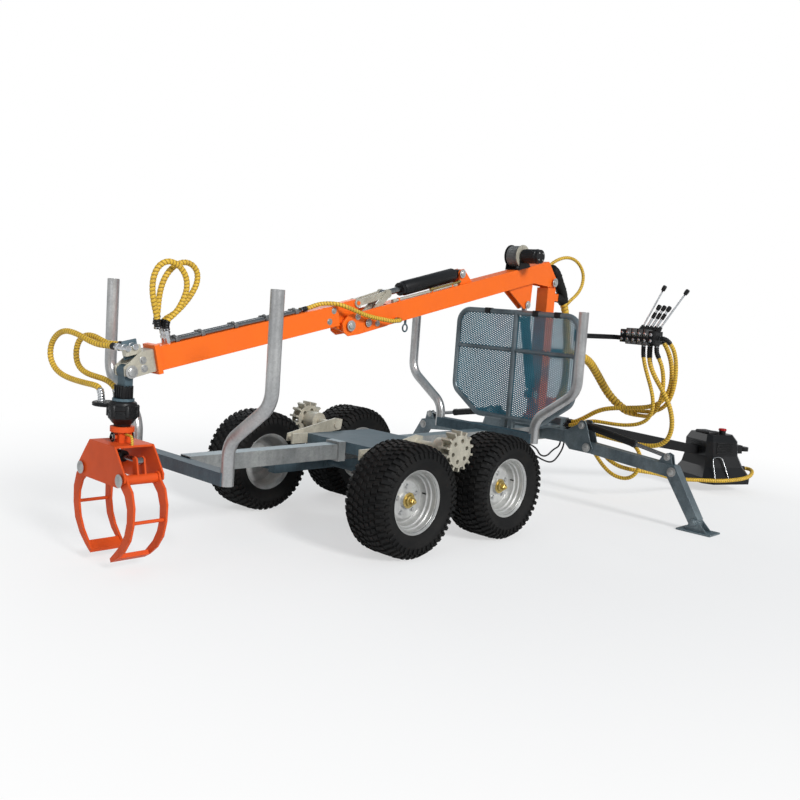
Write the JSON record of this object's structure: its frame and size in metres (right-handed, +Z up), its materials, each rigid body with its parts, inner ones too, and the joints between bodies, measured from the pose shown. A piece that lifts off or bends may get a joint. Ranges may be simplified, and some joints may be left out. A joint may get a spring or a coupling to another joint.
{
  "type": "forestry trailer with crane",
  "caption": "small bogie timber trailer with bent stakes, mesh headboard, friction-drive drums, folding knuckle crane with grapple and two stabiliser legs",
  "frame": {"origin": "under the middle of the machine's length and width, on the ground", "axes": "+X forwards to the towing eye, +Y to the left, +Z up"},
  "size_m": [5.16, 2.7, 1.6878],
  "materials": {
    "galvanised": "hot-dip galvanised, dull grey",
    "cream_zinc": "yellowish galvanised plate",
    "orange_paint": "semi-gloss orange",
    "black_paint": "satin black",
    "grey_iron": "grey casting",
    "piston": "hard chrome",
    "tyre": "black rubber",
    "rim": "galvanised",
    "hose": "yellow spiral sleeve",
    "black_plastic": "moulded black"
  },
  "bodies": {
    "chassis": {"spine_beam": "galvanised", "rear_extension_beam": "galvanised", "deck_box": "galvanised", "bogie_axle": "galvanised", "bogie_beam_left": "galvanised", "bogie_beam_right": "galvanised", "rear_bunk": "galvanised", "front_bunk": "galvanised", "rear_stakes": "galvanised", "front_stakes": "galvanised", "headboard_frame": "galvanised", "headboard_mesh": "galvanised", "crane_base": "galvanised", "drive_arms": "cream_zinc", "drive_cylinder": "black_paint", "drawbar_clevis": "galvanised", "valve_stand": "black_paint", "hose_valves": "hose"},
    "drum_left": {"drive_drum_left": "grey_iron"},
    "drum_right": {"drive_drum_right": "grey_iron"},
    "column": {"column": "orange_paint", "hose_column": "hose"},
    "lift_barrel": {"lift_barrel": "black_paint"},
    "lift_rod": {"lift_rod": "piston"},
    "boom": {"boom": "orange_paint", "winch_frame": "black_paint"},
    "winch": {"winch_drum": "grey_iron"},
    "stick_barrel": {"stick_barrel": "black_paint"},
    "stick_rod": {"stick_rod": "piston"},
    "rocker": {"rocker": "cream_zinc"},
    "link": {"link": "cream_zinc"},
    "stick": {"stick": "orange_paint", "hose_stick": "hose"},
    "extension": {"extension": "galvanised"},
    "hanger": {"hanger": "black_paint", "rotator": "black_paint", "hose_tip": "hose"},
    "grapple": {"grapple_frame": "orange_paint", "hose_grapple": "hose"},
    "jaw_left": {"jaw_left": "orange_paint"},
    "jaw_right": {"jaw_right": "orange_paint"},
    "grapple_barrel": {"grapple_barrel": "black_paint"},
    "grapple_rod": {"grapple_rod": "piston"},
    "drawbar": {"drawbar": "black_paint", "power_unit": "black_plastic", "hose_drawbar": "hose"},
    "leg_left": {"leg_left": "galvanised"},
    "leg_barrel_left": {"leg_barrel_left": "black_paint"},
    "leg_rod_left": {"leg_rod_left": "piston"},
    "wheel_front_left": {"tyre_front_left": "tyre", "rim_front_left": "rim"},
    "wheel_rear_left": {"tyre_rear_left": "tyre", "rim_rear_left": "rim"},
    "leg_right": {"leg_right": "galvanised"},
    "leg_barrel_right": {"leg_barrel_right": "black_paint"},
    "leg_rod_right": {"leg_rod_right": "piston"},
    "wheel_front_right": {"tyre_front_right": "tyre", "rim_front_right": "rim"},
    "wheel_rear_right": {"tyre_rear_right": "tyre", "rim_rear_right": "rim"}
  },
  "joints": [
    {"name": "wheel_front_left_spin", "type": "hinge", "parent": "chassis", "child": "wheel_front_left", "pos_m": [-0.523, 0.593, 0.29], "axis": [0, 1, 0], "continuous": true},
    {"name": "wheel_front_right_spin", "type": "hinge", "parent": "chassis", "child": "wheel_front_right", "pos_m": [-0.523, -0.593, 0.29], "axis": [0, 1, 0], "continuous": true},
    {"name": "wheel_rear_left_spin", "type": "hinge", "parent": "chassis", "child": "wheel_rear_left", "pos_m": [-1.259, 0.593, 0.29], "axis": [0, 1, 0], "continuous": true},
    {"name": "wheel_rear_right_spin", "type": "hinge", "parent": "chassis", "child": "wheel_rear_right", "pos_m": [-1.259, -0.593, 0.29], "axis": [0, 1, 0], "continuous": true},
    {"name": "drum_left_spin", "type": "hinge", "parent": "chassis", "child": "drum_left", "pos_m": [-0.891, 0.565, 0.51], "axis": [0, 1, 0], "continuous": true},
    {"name": "drum_right_spin", "type": "hinge", "parent": "chassis", "child": "drum_right", "pos_m": [-0.891, -0.565, 0.51], "axis": [0, 1, 0], "continuous": true},
    {"name": "crane_slew", "type": "hinge", "parent": "chassis", "child": "column", "pos_m": [0.669, 0, 0.52], "axis": [0, 0, 1], "range_deg": [-180, 90]},
    {"name": "boom_lift", "type": "hinge", "parent": "column", "child": "boom", "pos_m": [0.687, 0, 1.47], "axis": [0, 1, 0], "range_deg": [0, 65]},
    {"name": "lift_barrel_swing", "type": "hinge", "parent": "column", "child": "lift_barrel", "pos_m": [0.593, 0, 0.7], "axis": [0, 1, 0], "range_deg": [0, 3.37]},
    {"name": "lift_rod_slide", "type": "slide", "parent": "lift_barrel", "child": "lift_rod", "axis": [-0.2661, 0, 0.9639], "range_m": [0, 0.3309]},
    {"name": "stick_fold", "type": "hinge", "parent": "boom", "child": "stick", "pos_m": [-1.18784, 0, 1.12031], "axis": [0, -1, 0], "range_deg": [0, 94]},
    {"name": "rocker_swing", "type": "hinge", "parent": "boom", "child": "rocker", "pos_m": [-1.05588, 0, 1.14021], "axis": [0, -1, 0], "range_deg": [0, 71.44]},
    {"name": "link_swing", "type": "hinge", "parent": "stick", "child": "link", "pos_m": [-1.11055, 0, 1.24295], "axis": [0, -1, 0], "range_deg": [-66.04, 0]},
    {"name": "stick_barrel_swing", "type": "hinge", "parent": "boom", "child": "stick_barrel", "pos_m": [-0.26878, 0, 1.46191], "axis": [0, -1, 0], "range_deg": [-9.47, 0]},
    {"name": "stick_rod_slide", "type": "slide", "parent": "stick_barrel", "child": "stick_rod", "axis": [-0.9706, 0, -0.2409], "range_m": [0, 0.2445]},
    {"name": "telescope", "type": "slide", "parent": "stick", "child": "extension", "axis": [-0.9763, 0, -0.2164], "range_m": [0, 0.55]},
    {"name": "hanger_swing", "type": "hinge", "parent": "extension", "child": "hanger", "pos_m": [-2.46981, 0, 0.87811], "axis": [0, -1, 0], "range_deg": [-60, 20]},
    {"name": "rotator_spin", "type": "hinge", "parent": "hanger", "child": "grapple", "pos_m": [-2.476, 0, 0.632], "axis": [0, 0, 1], "continuous": true},
    {"name": "jaw_left_swing", "type": "hinge", "parent": "grapple", "child": "jaw_left", "pos_m": [-2.476, 0.172, 0.424], "axis": [1, 0, 0], "range_deg": [-13, 45]},
    {"name": "jaw_right_swing", "type": "hinge", "parent": "grapple", "child": "jaw_right", "pos_m": [-2.476, -0.172, 0.424], "axis": [-1, 0, 0], "range_deg": [-13, 45]},
    {"name": "grapple_barrel_swing", "type": "hinge", "parent": "jaw_left", "child": "grapple_barrel", "pos_m": [-2.476, 0.152, 0.5], "axis": [1, 0, 0], "range_deg": [-45, 15]},
    {"name": "grapple_rod_slide", "type": "slide", "parent": "grapple_barrel", "child": "grapple_rod", "axis": [0, -1, 0], "range_m": [-0.1016, 0.0339]},
    {"name": "winch_spin", "type": "hinge", "parent": "boom", "child": "winch", "pos_m": [0.3083, 0, 1.61579], "axis": [0, 1, 0], "continuous": true},
    {"name": "leg_left_swing", "type": "hinge", "parent": "chassis", "child": "leg_left", "pos_m": [0.709, 0.437, 0.394], "axis": [1, 0, 0], "range_deg": [0, 70]},
    {"name": "leg_left_barrel_swing", "type": "hinge", "parent": "chassis", "child": "leg_barrel_left", "pos_m": [0.709, 0.386, 0.535], "axis": [1, 0, 0], "range_deg": [0, 69.81]},
    {"name": "leg_left_rod_slide", "type": "slide", "parent": "leg_barrel_left", "child": "leg_rod_left", "axis": [0, 0.984, -0.1779], "range_m": [-0.1734, 0]},
    {"name": "leg_right_swing", "type": "hinge", "parent": "chassis", "child": "leg_right", "pos_m": [0.709, -0.437, 0.394], "axis": [-1, 0, 0], "range_deg": [0, 70]},
    {"name": "leg_right_barrel_swing", "type": "hinge", "parent": "chassis", "child": "leg_barrel_right", "pos_m": [0.709, -0.386, 0.535], "axis": [-1, 0, 0], "range_deg": [0, 69.81]},
    {"name": "leg_right_rod_slide", "type": "slide", "parent": "leg_barrel_right", "child": "leg_rod_right", "axis": [0, -0.984, -0.1779], "range_m": [-0.1734, 0]},
    {"name": "drawbar_steer", "type": "hinge", "parent": "chassis", "child": "drawbar", "pos_m": [1.009, 0, 0.434], "axis": [0, 0, 1], "range_deg": [-20.5, 69.5]}
  ],
  "couplings": [
    {"joint": "lift_barrel_swing", "follows": "boom_lift", "ratio": 0.05189},
    {"joint": "lift_rod_slide", "follows": "boom_lift", "m_per_rad": 0.2917},
    {"joint": "stick_fold", "follows": "boom_lift", "ratio": 1.4462},
    {"joint": "rocker_swing", "follows": "boom_lift", "ratio": 1.0991},
    {"joint": "link_swing", "follows": "boom_lift", "ratio": -1.016},
    {"joint": "stick_barrel_swing", "follows": "boom_lift", "ratio": -0.14562},
    {"joint": "stick_rod_slide", "follows": "boom_lift", "m_per_rad": 0.2155},
    {"joint": "jaw_right_swing", "follows": "jaw_left_swing", "ratio": 1},
    {"joint": "grapple_barrel_swing", "follows": "jaw_left_swing", "ratio": -1},
    {"joint": "grapple_rod_slide", "follows": "jaw_left_swing", "m_per_rad": -0.12939},
    {"joint": "leg_left_barrel_swing", "follows": "leg_left_swing", "ratio": 0.99732},
    {"joint": "leg_left_rod_slide", "follows": "leg_left_swing", "m_per_rad": -0.14192},
    {"joint": "leg_right_barrel_swing", "follows": "leg_right_swing", "ratio": 0.99732},
    {"joint": "leg_right_rod_slide", "follows": "leg_right_swing", "m_per_rad": -0.14192}
  ]
}
